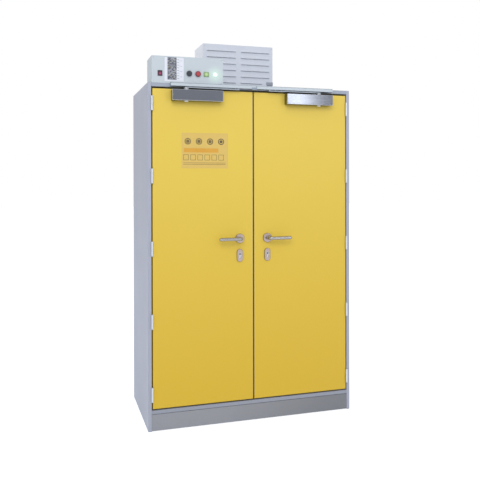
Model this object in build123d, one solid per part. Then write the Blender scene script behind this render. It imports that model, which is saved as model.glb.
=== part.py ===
from build123d import *
import os

# Two-door fire-rated battery cabinet with self-closing doors, a warning and
# control box and a fan box on its roof.
# Millimetres. Origin on the floor at the centre of the carcass footprint,
# X to the right, Y to the back, Z up. Each door is built as the left one and
# mirrored about X = 0 for the right one.

# Carcass
WIDTH = 1200.0
DEPTH = 600.0
HEIGHT = 1894.0
SHEET = 1.5                 # folded steel skins
BEND = 2.0                  # outside bend radius of the skins
STILE = 19.0                # front return of a side panel
BACK_FLANGE = 15.0          # back return of a side panel, over the edge of the back panel
TOP_RAIL = 21.0             # front return of the roof
REBATE = 61.0               # depth of the reveal that a door sits in
SILL_LOW = 94.0
SILL_HIGH = 114.0
WALL = 48.0                 # skin and insulation, without the lining
BOARD_PLAY = 0.5            # between the boards and the bends of the skins
LINING = 6.0
CEILING = 1836.0            # inside faces of the lining
FLOOR = 152.0
BACK_RECESS = 6.0           # from the back of the cabinet to the back of the boards
BACK_BOARD = 45.0           # thickness of the back wall's board

# Doors
DOOR_THICK = 58.0
DOOR_SKIN = 1.2
SIDE_GAP = 6.5
CENTRE_GAP = 8.0
TOP_GAP = 10.0
BOTTOM_GAP = 8.0
FIELD_X = (-539.5, -24.5)   # raised field of the back cover
FIELD_Z = (160.5, 1825.5)
FIELD_RISE = 8.0
FIELD_SLOPE = 4.0           # chamfer around the field

# Hinges
HINGE_X = -578.0
HINGE_Y = -306.5
BARREL_R = 6.25
PIN_R = 3.4
PIN_PLAY = 0.05
PIN_HEAD_R = 5.5
WASHER_R = 6.0
LEAF = 2.0
LEAF_BACK = -262.0
KNUCKLE_GAP = 0.5           # each side of the washer
HINGE_HEIGHT = 78.0
HINGE_FIRST = 201.5
HINGE_PITCH = 395.0
HINGE_COUNT = 5

# Slide-arm closers and their rail
SPINDLE_X = -392.0
SPINDLE_Y = -324.0
CLOSER_X = (-473.0, -189.0)
CLOSER_Z = (1797.0, 1857.0)
CLOSER_FRONT = -347.0
ARM_LENGTH = 300.0
ARM_Z = (1867.0, 1873.0)
HUB_R = 13.0
EYE_R = 8.0
BOSS_R = 11.0
RAIL_HALF = 476.0
RAIL_Y = (-330.0, -300.0)
RAIL_Z = (1877.0, 1896.0)
RAIL_LIP = 2.0              # thickness of the rail's slotted bottom
RAIL_LINE_Y = -316.0        # centre of the slot that the blocks run in

# Door furniture, as on the left door
LEVER_X = -82.0
LEVER_Z = 1035.0
LEVER_R = 9.5
LEVER_REACH = 132.0
LEVER_STAND = 50.0
PLATE_Z = 939.5             # centre of the oval escutcheon
PLATE_THICK = 7.0
LOCK_Y = (-280.0, -262.0)
LOCK_Z = (905.0, 1075.0)
CYLINDER_Z = 947.0          # axis of the key plug
CYLINDER_R = 8.5            # round head of the profile cylinder
TAIL_R = 5.0                # half width and end radius of its tail
TAIL_DROP = 19.5
PLUG_R = 6.0
ROD_X = -60.0
ROD_Y = -270.0
ROD_R = 5.0

# Inside fittings
SHELF_TOPS = (560.0, 960.0, 1360.0)
SHELF_X = (-532.0, 532.0)
SHELF_Y = (-222.0, 232.0)
SHELF_EDGE = 30.0
UPRIGHT_Z = (165.0, 1825.0)
UPRIGHT_DEEP = 12.0         # how far an upright stands off the wall
UPRIGHT_Y = (-170.0, 170.0)
DUCT_Y = 105.0              # ceiling valve and fan axis
VALVE_R = 50.0
VALVE_PLAY = 0.5

# Control box on the roof
BOX_X = (-578.0, -177.0)
BOX_TOP = 2041.0
BOX_DEPTH = 162.0
BUTTON_Z = 1950.0
SWITCH_X = -533.0
SWITCH_Z = BUTTON_Z - 4.0
HOLDER_R = 11.0             # threaded holders of the buttons and lamps
STEM_R = 9.5
BLACK_X = -371.5
RED_X = -322.0
GREEN_X = -274.5
WHITE_X = -224.0

# Fan box on the roof
VENT_HALF = 222.0
VENT_FRONT = -6.5
VENT_BACK = 215.0
VENT_TOP = 2188.0
LOUVRE_X = 107.5
LOUVRE_LENGTH = 186.0
LAST_LOUVRE = 140.0         # the lowest row is shorter, beside the terminal cap
LOUVRE_RISE = 8.0
LOUVRE_TOP = 2147.5
LOUVRE_PITCH = 38.0
LOUVRE_ROWS = 6
SPIGOT_R = 37.5
SPIGOT_Z = 2060.0
MOTOR_Z = (2030.0, 2090.0)
WHEEL_Z = (1965.0, 2012.0)  # between the inlet ring and the back plate
WHEEL_R = 78.0
SHAFT_R = 4.0

# Derived planes
SIDE = WIDTH / 2
FRONT = -DEPTH / 2
BACK = DEPTH / 2
RAIL_BOTTOM = HEIGHT - TOP_RAIL
REVEAL = SIDE - STILE
STOP = FRONT + REBATE                       # face the door seals close on
INNER = SIDE - WALL - LINING                # half width of the inside
DOOR_OUT = -(REVEAL - SIDE_GAP)
DOOR_IN = -CENTRE_GAP / 2
DOOR_LOW = SILL_HIGH + BOTTOM_GAP
DOOR_HIGH = RAIL_BOTTOM - TOP_GAP
DOOR_BACK = FRONT + DOOR_THICK
LINER = DOOR_BACK - SHEET                   # front face of the door's back cover
INSULATION_BACK = BACK - BACK_RECESS
LINING_BACK = INSULATION_BACK - BACK_BOARD
ARM_RUN = (ARM_LENGTH ** 2 - (RAIL_LINE_Y - SPINDLE_Y) ** 2) ** 0.5
EYE_X = SPINDLE_X + ARM_RUN                 # where the arm meets its slide block
HINGES = [HINGE_FIRST + i * HINGE_PITCH for i in range(HINGE_COUNT)]

os.makedirs("parts", exist_ok=True)


def save(node, *parts):
    """Write one node as a group of separate closed solids."""
    solids = [solid for part in parts for solid in part.solids()]
    export_step(Compound(solids), f"parts/{node}.step")


def mirrored(parts):
    """The same parts for the other side of X = 0."""
    return [mirror(part, about=Plane.YZ) for part in parts]


def save_pair(node, *parts):
    """Write the left node and its mirror image for the right side."""
    save(f"left_{node}", *parts)
    save(f"right_{node}", *mirrored(parts))


def block(x, y, z):
    """Rectangular solid between a low and a high value on each axis."""
    centre = [(low + high) / 2 for low, high in (x, y, z)]
    return Pos(*centre) * Box(*[high - low for low, high in (x, y, z)])


def rod(x, y, z, radius):
    """Upright round bar over the z range."""
    return Pos(x, y, (z[0] + z[1]) / 2) * Cylinder(radius, z[1] - z[0])


def bar(x, y, z, radius):
    """Round bar along Y over the y range."""
    return Pos(x, (y[0] + y[1]) / 2, z) * Rot(90, 0, 0) * Cylinder(radius, y[1] - y[0])


def grown(span, margin):
    """The span, wider by a margin at each end."""
    return (span[0] - margin, span[1] + margin)


def folded(points, thickness=SHEET, radius=BEND):
    """Profile of a folded sheet whose outside runs along the points, its body on the left."""
    outside = FilletPolyline(*points, radius=radius)
    return make_face(offset(outside, amount=thickness, side=Side.LEFT, kind=Kind.ARC))


def along_x(profile, half):
    """Extrude a profile drawn in (y, z) to both sides of X = 0."""
    return extrude(Plane.YZ * profile, amount=half, both=True)


# ---------------------------------------------------------------- carcass skins

def side_panel():
    """Left side: one sheet with a front stile, the reveal behind it and a back flange."""
    profile = folded([(-SIDE + BACK_FLANGE, BACK), (-SIDE, BACK), (-SIDE, FRONT),
                      (-REVEAL, FRONT), (-REVEAL, STOP)])
    panel = extrude(profile, HEIGHT)
    x, y = (-SIDE + SHEET, -REVEAL + 1), (FRONT + SHEET, STOP + 1)
    return panel - block(x, y, (-1, SILL_LOW + SHEET)) - block(x, y, (HEIGHT - SHEET, HEIGHT + 1))


def roof_pan():
    """Roof: front rail folded down and back over the doors, with a hole for the ceiling valve."""
    profile = folded([(BACK - SHEET, HEIGHT), (FRONT, HEIGHT), (FRONT, RAIL_BOTTOM),
                      (STOP, RAIL_BOTTOM)])
    pan = along_x(profile, REVEAL)
    for side in (-1, 1):
        ear = sorted((side * REVEAL, side * (SIDE - SHEET)))
        pan += block(ear, (FRONT + SHEET, BACK - SHEET - BEND), (HEIGHT - SHEET, HEIGHT))
        pan -= rod(side * ROD_X, ROD_Y, (RAIL_BOTTOM - 1, RAIL_BOTTOM + SHEET + 1), ROD_R + 2)
    return pan - rod(0, DUCT_Y, (HEIGHT - 5, HEIGHT + 5), VALVE_R + VALVE_PLAY)


def floor_pan():
    """Floor: its front is folded up as the sill and back under the doors."""
    profile = folded([(STOP, SILL_HIGH), (FRONT, SILL_HIGH), (FRONT, SILL_LOW),
                      (INSULATION_BACK, SILL_LOW)])
    pan = along_x(profile, REVEAL)
    for side in (-1, 1):
        ear = sorted((side * REVEAL, side * (SIDE - SHEET)))
        pan += block(ear, (FRONT + SHEET, INSULATION_BACK), (SILL_LOW, SILL_LOW + SHEET))
    return pan


def back_panel():
    """Back: one sheet with a pressed field between two flat margins."""
    edge, margin, slope, press, low = SIDE - BACK_FLANGE - 0.5, 45, 10, 4, 20
    flat, field = edge - margin, edge - margin - slope
    profile = folded([(edge, BACK), (flat, BACK), (field, BACK - press),
                      (-field, BACK - press), (-flat, BACK), (-edge, BACK)])
    return Pos(0, 0, low) * extrude(profile, HEIGHT - SHEET - low)


def base_frame():
    """Welded ring of channel that the carcass stands on, with a plate in each corner."""
    half_x, front, back, wall, flange = 598.0, -284.0, INSULATION_BACK, 2.0, 30.0
    x, y, z = (-half_x, half_x), (front, back), (0, SILL_LOW - 2)
    frame = block(x, y, z)
    frame -= block(grown(x, -wall), grown(y, -wall), grown(z, -wall))
    frame -= block(grown(x, -flange), grown(y, -flange), grown(z, 1))
    plate = 75.0
    for x_in in (-half_x + plate, half_x - plate):
        for y_in in (front + plate, back - plate):
            corner_x = sorted((x_in, half_x if x_in > 0 else -half_x))
            corner_y = sorted((y_in, back if y_in > 0 else front))
            frame += block(corner_x, corner_y, (z[1] - wall, z[1]))
    return frame


def levelling_feet():
    """Four screw feet under the corner plates."""
    pad_high, pad_r, screw_top, screw_r, nut_high, nut_r = 6, 20, 90, 5, 12, 9
    pad = chamfer(rod(0, 0, (0, pad_high), pad_r).edges().group_by(Axis.Z)[-1], 2)
    nut = Pos(0, 0, screw_top - nut_high) * extrude(RegularPolygon(nut_r, 6), nut_high)
    foot = pad + rod(0, 0, (pad_high, screw_top), screw_r) + nut
    return [Pos(x, y, 0) * foot for x in (-540, 540) for y in (-230, 240)]


def plinth_cover():
    """Removable kick plate between the lower ends of the side panels."""
    y, lip, low, high = FRONT + 1, 12, 3, SILL_LOW - 2
    profile = folded([(y + lip, high), (y, high), (y, low), (y + lip, low)])
    return along_x(profile, REVEAL - 0.5)


# --------------------------------------------------------- insulation and lining

def insulation_boards():
    """Fire protection boards: five walls, and strips behind the frame around the doors."""
    wall, outer = SIDE - WALL, SIDE - SHEET - BOARD_PLAY
    y = (STOP + SHEET, INSULATION_BACK)
    z = grown((SILL_LOW + SHEET, HEIGHT - SHEET), -BOARD_PLAY)
    behind = (FRONT + SHEET + BOARD_PLAY, STOP)
    inside_y = (STOP + SHEET, LINING_BACK)
    reveal = REVEAL + SHEET + BOARD_PLAY
    boards = [
        block((-outer, -wall), y, z),
        block((wall, outer), y, z),
        block((-outer, -reveal), behind, z),
        block((reveal, outer), behind, z),
        block((-wall, wall), (LINING_BACK, INSULATION_BACK), z),
        block((-wall, wall), inside_y, (z[0], FLOOR - LINING)),
        block((-REVEAL, REVEAL), behind, (z[0], SILL_HIGH - SHEET - BOARD_PLAY)),
        block((-REVEAL, REVEAL), behind, (RAIL_BOTTOM + SHEET + BOARD_PLAY, z[1])),
    ]
    ceiling = block((-wall, wall), inside_y, (CEILING + LINING, z[1]))
    return boards + [ceiling - rod(0, DUCT_Y, grown((CEILING, HEIGHT), 5), VALVE_R + VALVE_PLAY)]


def inner_lining():
    """White coated boards on the five inside faces."""
    wall = SIDE - WALL
    y = (STOP + SHEET, LINING_BACK - LINING)
    full_y, full_z = (y[0], LINING_BACK), (FLOOR - LINING, CEILING + LINING)
    ceiling = block((-INNER, INNER), y, (CEILING, CEILING + LINING))
    return [
        block((-wall, -INNER), full_y, full_z),
        block((INNER, wall), full_y, full_z),
        block((-INNER, INNER), (y[1], LINING_BACK), full_z),
        block((-INNER, INNER), y, (full_z[0], FLOOR)),
        ceiling - rod(0, DUCT_Y, grown((CEILING, HEIGHT), 5), VALVE_R + VALVE_PLAY),
    ]


def ring_strips(y, outer_x, inner_x, outer_z, inner_z):
    """Four flat strips around the opening: two uprights, a head and a foot."""
    return [
        block((-outer_x, -inner_x), y, outer_z),
        block((inner_x, outer_x), y, outer_z),
        block((-inner_x, inner_x), y, (inner_z[1], outer_z[1])),
        block((-inner_x, inner_x), y, (outer_z[0], inner_z[0])),
    ]


def rebate_frame():
    """Sheet strips facing the edge of the boards, where the doors close."""
    return ring_strips((STOP, STOP + SHEET), REVEAL, INNER,
                       (SILL_HIGH, RAIL_BOTTOM), (FLOOR, CEILING))


def rebate_seals():
    """Intumescent strips on the rebate, just clear of the closed doors."""
    thick, wide, outer = 2.7, 16, (SILL_HIGH + 10, RAIL_BOTTOM - 12)
    return ring_strips((STOP - thick, STOP), REVEAL - 9, REVEAL - 9 - wide,
                       outer, grown(outer, -wide))


# ------------------------------------------------------------------------ hinges

def knuckle(z, bore, leaf_x):
    """Hinge knuckle with its leaf running back beside the door edge."""
    leaf = block(leaf_x, (HINGE_Y, LEAF_BACK), z)
    return rod(HINGE_X, HINGE_Y, z, BARREL_R) + leaf - rod(HINGE_X, HINGE_Y, grown(z, 1), bore)


def frame_leaves():
    """Lower knuckles, with leaves on the frame's reveal."""
    half, leaf_x = HINGE_HEIGHT / 2, (-REVEAL, -REVEAL + LEAF)
    return [knuckle((z - half, z - KNUCKLE_GAP), PIN_R, leaf_x) for z in HINGES]


def door_leaves():
    """Upper knuckles, with leaves on the door's edge."""
    half, leaf_x = HINGE_HEIGHT / 2, (DOOR_OUT - LEAF, DOOR_OUT)
    return [knuckle((z + KNUCKLE_GAP, z + half), PIN_R + PIN_PLAY, leaf_x) for z in HINGES]


def hinge_pins():
    """Pins fixed in the frame knuckles, each with a washer and a flat head at both ends."""
    half, head, play = HINGE_HEIGHT / 2, 1.0, 0.2
    spans = [((-half - head, half + play), PIN_R), ((-half - head, -half), PIN_HEAD_R),
             ((-KNUCKLE_GAP, KNUCKLE_GAP - 0.1), WASHER_R),
             ((half + play, half + play + head), PIN_HEAD_R)]
    steps = [rod(HINGE_X, HINGE_Y, span, radius) for span, radius in spans]
    pin = steps[0] + steps[1] + steps[2] + steps[3]
    return [Pos(0, 0, z) * pin for z in HINGES]


# ------------------------------------------------------------------------- doors

def lock_cut(depth):
    """Space for the lever neck and the profile cylinder through the door face."""
    neck = bar(LEVER_X, depth, LEVER_Z, LEVER_R + 2)
    return neck + cylinder_form(depth, 1.0)


def cylinder_form(y, margin):
    """Outline of a profile cylinder: a round head over a narrow rounded tail."""
    tail_low = CYLINDER_Z - TAIL_DROP
    half = TAIL_R + margin
    tail = block((LEVER_X - half, LEVER_X + half), y, (tail_low, CYLINDER_Z))
    return bar(LEVER_X, y, CYLINDER_Z, CYLINDER_R + margin) + tail + bar(LEVER_X, y, tail_low, half)


def door_skin():
    """Outer pan: face sheet with four folded edges."""
    x, z = (DOOR_OUT, DOOR_IN), (DOOR_LOW, DOOR_HIGH)
    pan = block(x, (FRONT, LINER), z)
    pan = fillet(pan.faces().sort_by(Axis.Y)[0].edges(), BEND)
    pan -= block(grown(x, -DOOR_SKIN), (FRONT + DOOR_SKIN, LINER + 1), grown(z, -DOOR_SKIN))
    pan -= rod(ROD_X, ROD_Y, (DOOR_HIGH - 5, DOOR_HIGH + 5), ROD_R + 0.5)
    return pan - lock_cut((FRONT - 1, FRONT + 5))


def door_core():
    """Insulation board filling the pan, with a pocket for the lock and a channel for its rod."""
    x, z = grown((DOOR_OUT, DOOR_IN), -DOOR_SKIN), grown((DOOR_LOW, DOOR_HIGH), -DOOR_SKIN)
    core = block(x, (FRONT + DOOR_SKIN, LINER), z)
    raised = block(grown(FIELD_X, -SHEET), (LINER, LINER + FIELD_RISE), grown(FIELD_Z, -SHEET))
    core += chamfer(raised.faces().sort_by(Axis.Y)[-1].edges(), FIELD_SLOPE)
    core -= block((LEVER_X - 33, LEVER_X + 43), (FRONT, LOCK_Y[1] + 4), grown(LOCK_Z, 2))
    return core - rod(ROD_X, ROD_Y, (LOCK_Z[1] - 5, DOOR_HIGH), ROD_R + 1.5)


def door_liner():
    """Back cover with a raised field that reaches into the opening."""
    x, z = grown((DOOR_OUT, DOOR_IN), -SHEET), grown((DOOR_LOW, DOOR_HIGH), -SHEET)
    plate = block(x, (LINER, DOOR_BACK), z)
    field = block(FIELD_X, (LINER, DOOR_BACK + FIELD_RISE), FIELD_Z)
    field = chamfer(field.faces().sort_by(Axis.Y)[-1].edges(), FIELD_SLOPE)
    hollow = block(grown(FIELD_X, -SHEET), (LINER - 1, LINER + FIELD_RISE), grown(FIELD_Z, -SHEET))
    hollow = chamfer(hollow.faces().sort_by(Axis.Y)[-1].edges(), FIELD_SLOPE - SHEET)
    return plate + field - hollow


def lock_case():
    """Mortise lock: case with the follower's hole, and the profile cylinder through it."""
    half, follower_r, plug_r = 30, 6.2, PLUG_R + 0.3
    top, guide_top = LOCK_Z[1], LOCK_Z[1] + 15
    case = block((LEVER_X - half, LEVER_X + half), LOCK_Y, LOCK_Z)
    case -= bar(LEVER_X, grown(LOCK_Y, 1), LEVER_Z, follower_r)
    case -= cylinder_form(grown(LOCK_Y, 1), 0.0)
    guide = rod(ROD_X, ROD_Y, (top, guide_top), ROD_R + 1)
    guide -= rod(ROD_X, ROD_Y, (top - 5, guide_top + 1), ROD_R + 0.3)
    cylinder = cylinder_form((FRONT - 5, LOCK_Y[1] + 3), 0.0)
    return [case, guide, cylinder - bar(LEVER_X, (FRONT - 6, LOCK_Y[1]), CYLINDER_Z, plug_r)]


def handle_plates():
    """Round rose under the lever and oval escutcheon around the cylinder."""
    rose_r, rose_thick, high, wide, soft = 26, 8, 72, 35, 2.5
    rose = bar(LEVER_X, (FRONT - rose_thick, FRONT), LEVER_Z, rose_r)
    rose = fillet(rose.edges().group_by(Axis.Y)[0], soft)
    rose -= bar(LEVER_X, grown((FRONT - rose_thick, FRONT), 1), LEVER_Z, LEVER_R + 0.3)
    oval = Plane.XZ.offset(-FRONT) * Pos(LEVER_X, PLATE_Z) * Rot(0, 0, 90) * SlotOverall(high, wide)
    plate = extrude(oval, PLATE_THICK)
    plate = fillet(plate.edges().group_by(Axis.Y)[0], soft)
    return [rose, plate - cylinder_form(grown((FRONT - PLATE_THICK, FRONT), 1), 0.1)]


def lever():
    """Round bar bent out of the rose and along the door, with a domed end and a square spindle."""
    stand = FRONT - LEVER_STAND
    path = FilletPolyline((LEVER_X, FRONT - 1, LEVER_Z), (LEVER_X, stand, LEVER_Z),
                          (LEVER_X - LEVER_REACH + LEVER_R, stand, LEVER_Z), radius=16)
    grip = sweep(Plane(path @ 0, z_dir=path % 0) * Circle(LEVER_R), path=path)
    grip += Pos(LEVER_X - LEVER_REACH + LEVER_R, stand, LEVER_Z) * Sphere(LEVER_R)
    spindle_x, spindle_z = grown((LEVER_X, LEVER_X), 4), grown((LEVER_Z, LEVER_Z), 4)
    return grip + block(spindle_x, (FRONT - 2, LOCK_Y[1] + 2), spindle_z)


def key_plug():
    """Turning plug of the profile cylinder with its keyway."""
    plug = bar(LEVER_X, (FRONT - 6, LOCK_Y[1] - 1), CYLINDER_Z, PLUG_R)
    slit_x, slit_z = grown((LEVER_X, LEVER_X), 1.2), grown((CYLINDER_Z, CYLINDER_Z), 4.5)
    return plug - block(slit_x, (FRONT - 7, LOCK_Y[0] + 2), slit_z)


def latch_rod():
    """Rod from the lock to the door's top edge, with a tapered tip."""
    body = rod(ROD_X, ROD_Y, (LOCK_Z[1] + 20, DOOR_HIGH + 5), ROD_R)
    return chamfer(body.edges().group_by(Axis.Z)[-1], 2)


# ----------------------------------------------------------------------- closers

def closer_body():
    """Slide-arm closer: back plate, rounded cover and the spindle's two bosses."""
    plate = block(grown(CLOSER_X, -3), (FRONT - 2, FRONT), grown(CLOSER_Z, -3))
    cover = block(CLOSER_X, (CLOSER_FRONT, FRONT - 2), CLOSER_Z)
    cover = fillet(cover.edges().filter_by(Axis.Y), 3)
    cover = fillet(cover.faces().sort_by(Axis.Y)[0].edges(), 2)
    bosses = rod(SPINDLE_X, SPINDLE_Y, (CLOSER_Z[0] - 5, CLOSER_Z[0] + 1), BOSS_R)
    bosses += rod(SPINDLE_X, SPINDLE_Y, (CLOSER_Z[1] - 1, CLOSER_Z[1] + 4), BOSS_R)
    return plate + cover + bosses


def closer_arm():
    """Flat arm: hub on the spindle, tapered bar and an eye under the slide block."""
    hub = Pos(SPINDLE_X, SPINDLE_Y) * Circle(HUB_R)
    eye = Pos(EYE_X, RAIL_LINE_Y) * Circle(EYE_R)
    outline = make_hull(hub.edges() + eye.edges())
    arm = Pos(0, 0, ARM_Z[0]) * extrude(outline, ARM_Z[1] - ARM_Z[0])
    arm += rod(SPINDLE_X, SPINDLE_Y, (CLOSER_Z[1] + 4.3, ARM_Z[1]), HUB_R)
    return arm - rod(EYE_X, RAIL_LINE_Y, grown(ARM_Z, 1), EYE_R / 2)


def slide_block():
    """Plastic block inside the rail with its stub, over the end of the arm."""
    half, stub_r, lip = 18, 5, RAIL_Z[0] + RAIL_LIP
    body = block(grown((EYE_X, EYE_X), half), grown((RAIL_LINE_Y, RAIL_LINE_Y), 8.5),
                 (lip + 0.4, lip + 12.5))
    body = fillet(body.edges().filter_by(Axis.Z), 3)
    return body + rod(EYE_X, RAIL_LINE_Y, (ARM_Z[1] + 0.6, lip + 1), stub_r)


def guide_rail():
    """Extruded channel along the top of the frame, with a plug in each end."""
    y, z, bevel, plug = RAIL_Y, RAIL_Z, 4, 3
    channel_wide, channel_high, slot_wide = 18, 13, 12
    outline = make_face(Polyline((y[1], z[0]), (y[0], z[0]), (y[0], z[1] - bevel),
                                 (y[0] + bevel, z[1]), (y[1], z[1]), close=True))
    channel = Pos(RAIL_LINE_Y, z[0] + RAIL_LIP + channel_high / 2) * Rectangle(channel_wide, channel_high)
    slot = Pos(RAIL_LINE_Y, z[0]) * Rectangle(slot_wide, 10)
    cap = extrude(Plane.YZ * outline, plug)
    rail = along_x(outline - channel - slot, RAIL_HALF)
    return [rail, Pos(RAIL_HALF, 0, 0) * cap, Pos(-RAIL_HALF - plug, 0, 0) * cap]


def closing_sequencer():
    """Clip over the middle of the rail that holds back one door until the other has shut."""
    x, top = (-20, 30), RAIL_Z[1]
    saddle = block(x, (RAIL_Y[0] - SHEET, FRONT), (RAIL_Z[0] + 3, top + 2))
    saddle -= block(grown(x, 1), (RAIL_Y[0], FRONT + 1), (0, top))
    tab = block((10, 16), (RAIL_LINE_Y - 6, RAIL_LINE_Y + 2), (top + 1, top + 9))
    return saddle + tab


# ---------------------------------------------------------------- inside fittings

def upright(y):
    """Slotted channel on the right side wall, its open side against the lining."""
    half, slot_half, slot_high, pitch = 13, 3, 18, 100
    face = INNER - UPRIGHT_DEEP
    channel = block((face, INNER), (y - half, y + half), UPRIGHT_Z)
    channel -= block((face + SHEET, INNER + 1), grown((y, y), half - SHEET), grown(UPRIGHT_Z, 1))
    for z in range(200, 1800, pitch):
        channel -= block((face - 1, face + SHEET + 1), grown((y, y), slot_half), (z, z + slot_high))
    return channel


def bracket(y, top):
    """Angle on the face of an upright, under one corner of a shelf."""
    face, half, reach, thick, lug = INNER - UPRIGHT_DEEP, 11, 22, 3, 1.8
    z = top - SHELF_EDGE
    foot = block((face - reach, face), (y - half, y + half), (z - thick, z))
    return foot + block((face - lug, face), (y - half, y + half), (z - thick, z + 20))


def shelf_supports():
    """Four slotted uprights on the side walls, and a bracket under each shelf corner."""
    pieces = [part for y in UPRIGHT_Y for part in [upright(y)] + [bracket(y, top) for top in SHELF_TOPS]]
    return mirrored(pieces) + pieces


def shelf(top):
    """Steel shelf with folded edges and two rows of air slots."""
    slot_long, slot_wide, pitch = 90, 10, 130
    pan = block(SHELF_X, SHELF_Y, (top - SHELF_EDGE, top))
    pan = fillet(pan.faces().sort_by(Axis.Z)[-1].edges(), BEND)
    pan -= block(grown(SHELF_X, -SHEET), grown(SHELF_Y, -SHEET), (top - SHELF_EDGE - 1, top - SHEET))
    slot = Pos(0, 0, top - 5) * extrude(SlotOverall(slot_long, slot_wide), 10)
    slots = [Pos(column * pitch, row, 0) * slot for column in range(-3, 4) for row in (-110, 120)]
    return pan - slots


def sump_tray():
    """Open tray on the floor, welded from a base and four walls, that catches spilled liquid."""
    x, y, z = SHELF_X, SHELF_Y, (FLOOR, FLOOR + 60)
    inner_x, inner_y, walls = grown(x, -SHEET), grown(y, -SHEET), (z[0] + SHEET, z[1])
    return [
        block(x, y, (z[0], walls[0])),
        block((x[0], inner_x[0]), y, walls),
        block((inner_x[1], x[1]), y, walls),
        block(inner_x, (y[0], inner_y[0]), walls),
        block(inner_x, (inner_y[1], y[1]), walls),
    ]


def ceiling_valve():
    """Fire valve cartridge through the ceiling, under the fan, with its inside flange."""
    flange_r, flange = 66, 5
    valve = rod(0, DUCT_Y, (CEILING - 1, HEIGHT + 6), VALVE_R)
    valve += rod(0, DUCT_Y, (CEILING - flange, CEILING), flange_r)
    return chamfer(valve.edges().group_by(Axis.Z)[0], 2)


def smoke_detector():
    """Ceiling detector: base and stepped dome."""
    steps = [(0, 0), (48, 0), (48, -10), (40, -14), (38, -26), (26, -36), (0, -38)]
    half = make_face(Polyline(*steps, close=True))
    return Pos(-250, 0, CEILING) * revolve(Plane.XZ * half, axis=Axis.Z)


# ------------------------------------------------------------------- control box

def front_open_box(x, y, z):
    """Box welded from five plates: bottom, top, two sides and a back."""
    inner_x, inner_z = grown(x, -SHEET), grown(z, -SHEET)
    return [
        block(x, y, (z[0], inner_z[0])),
        block(x, y, (inner_z[1], z[1])),
        block((x[0], inner_x[0]), y, inner_z),
        block((inner_x[1], x[1]), y, inner_z),
        block(inner_x, (y[1] - SHEET, y[1]), inner_z),
    ]


def control_housing():
    """Box on the roof, open to the front."""
    return front_open_box(BOX_X, (FRONT + 2, FRONT + BOX_DEPTH), (HEIGHT, BOX_TOP))


def control_panel():
    """Front plate with the holes for the switch, buttons and lamps."""
    plate = block(BOX_X, (FRONT, FRONT + 2), (HEIGHT, BOX_TOP))
    y = grown((FRONT, FRONT + 2), 1)
    plate -= block(grown((SWITCH_X, SWITCH_X), 11.2), y, grown((SWITCH_Z, SWITCH_Z), 14.2))
    for x in (BLACK_X, RED_X, GREEN_X, WHITE_X):
        plate -= bar(x, y, BUTTON_Z, HOLDER_R + 0.25)
    return plate


def indicator_plate():
    """White scale plate on the panel and the dark display window on it."""
    thick, top = 1.5, 2034
    plate = block((-508, -402), (FRONT - thick, FRONT), (1903, top))
    return [plate, block((-492, -442), (FRONT - thick - 1, FRONT - thick), (1913, top))]


def button_collar(x):
    """Round collar and holder of a push button, bored for its stem."""
    flange_r, bore_r = 14.5, STEM_R + 0.3
    collar = bar(x, (FRONT - 1, FRONT), BUTTON_Z, flange_r)
    collar += bar(x, (FRONT - 1, FRONT + 30), BUTTON_Z, HOLDER_R)
    return collar - bar(x, (FRONT - 2, FRONT + 20), BUTTON_Z, bore_r)


def panel_bezels():
    """Switch frame and the two button collars, clamped through the panel."""
    x, z = (SWITCH_X, SWITCH_X), (SWITCH_Z, SWITCH_Z)
    frame = block(grown(x, 13), (FRONT - 2, FRONT), grown(z, 15))
    frame += block(grown(x, 11), (FRONT - 1, FRONT + 38), grown(z, 14))
    frame -= block(grown(x, 10), (FRONT - 3, FRONT + 11.5), grown(z, 13.3))
    return [frame] + [button_collar(x) for x in (BLACK_X, RED_X)]


def signal_lamps():
    """Square green lamp and round white lamp, each with its holder behind the panel."""
    holder, dome_r, dome = (FRONT, FRONT + 25), 13, 8
    green = block((GREEN_X - 14, GREEN_X + 14), (FRONT - 6, FRONT), grown((BUTTON_Z, BUTTON_Z), 13))
    green = fillet(green.faces().sort_by(Axis.Y)[0].edges(), 2)
    white = bar(WHITE_X, (FRONT - dome, FRONT), BUTTON_Z, dome_r)
    white = fillet(white.edges().group_by(Axis.Y)[0], dome - 2)
    return [green + bar(GREEN_X, holder, BUTTON_Z, HOLDER_R),
            white + bar(WHITE_X, holder, BUTTON_Z, HOLDER_R)]


def power_switch():
    """Rocker with two sloping faces, resting with its upper end out."""
    half, dip, front, back, tilt = 12, -4, -7.5, 5, 8
    side = make_face(Polyline((dip, 0), (front, half), (back, half), (back, -half), (front, -half),
                              close=True))
    rocker = along_x(side, 9.6)
    return Pos(SWITCH_X, FRONT + 3, SWITCH_Z) * Rot(tilt, 0, 0) * rocker


def push_button(x):
    """Mushroom button with its stem in the collar."""
    face, under, head_r = FRONT - 12, FRONT - 4.5, 15.5
    head = bar(x, (face, under), BUTTON_Z, head_r)
    head = fillet(head.edges().group_by(Axis.Y)[0], 3)
    return head + bar(x, (under, FRONT + 16), BUTTON_Z, STEM_R)


# ----------------------------------------------------------------------- fan box

def vent_housing():
    """Fan box, open to the front, with the valve's hole in its bottom and the outlet in its back."""
    x, y, z = (-VENT_HALF, VENT_HALF), (VENT_FRONT + SHEET, VENT_BACK), (HEIGHT, VENT_TOP)
    bottom, top, left, right, back = front_open_box(x, y, z)
    bottom -= rod(0, DUCT_Y, grown((HEIGHT, HEIGHT + SHEET), 1), VALVE_R + VALVE_PLAY)
    back -= bar(0, grown((VENT_BACK - SHEET, VENT_BACK), 1), SPIGOT_Z, SPIGOT_R)
    return [bottom, top, left, right, back]


def capsule(length, radius):
    """Round bar along X with a ball at each end."""
    straight = length - 2 * radius
    form = Rot(0, 90, 0) * Cylinder(radius, straight)
    return form + Pos(-straight / 2, 0, 0) * Sphere(radius) + Pos(straight / 2, 0, 0) * Sphere(radius)


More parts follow.
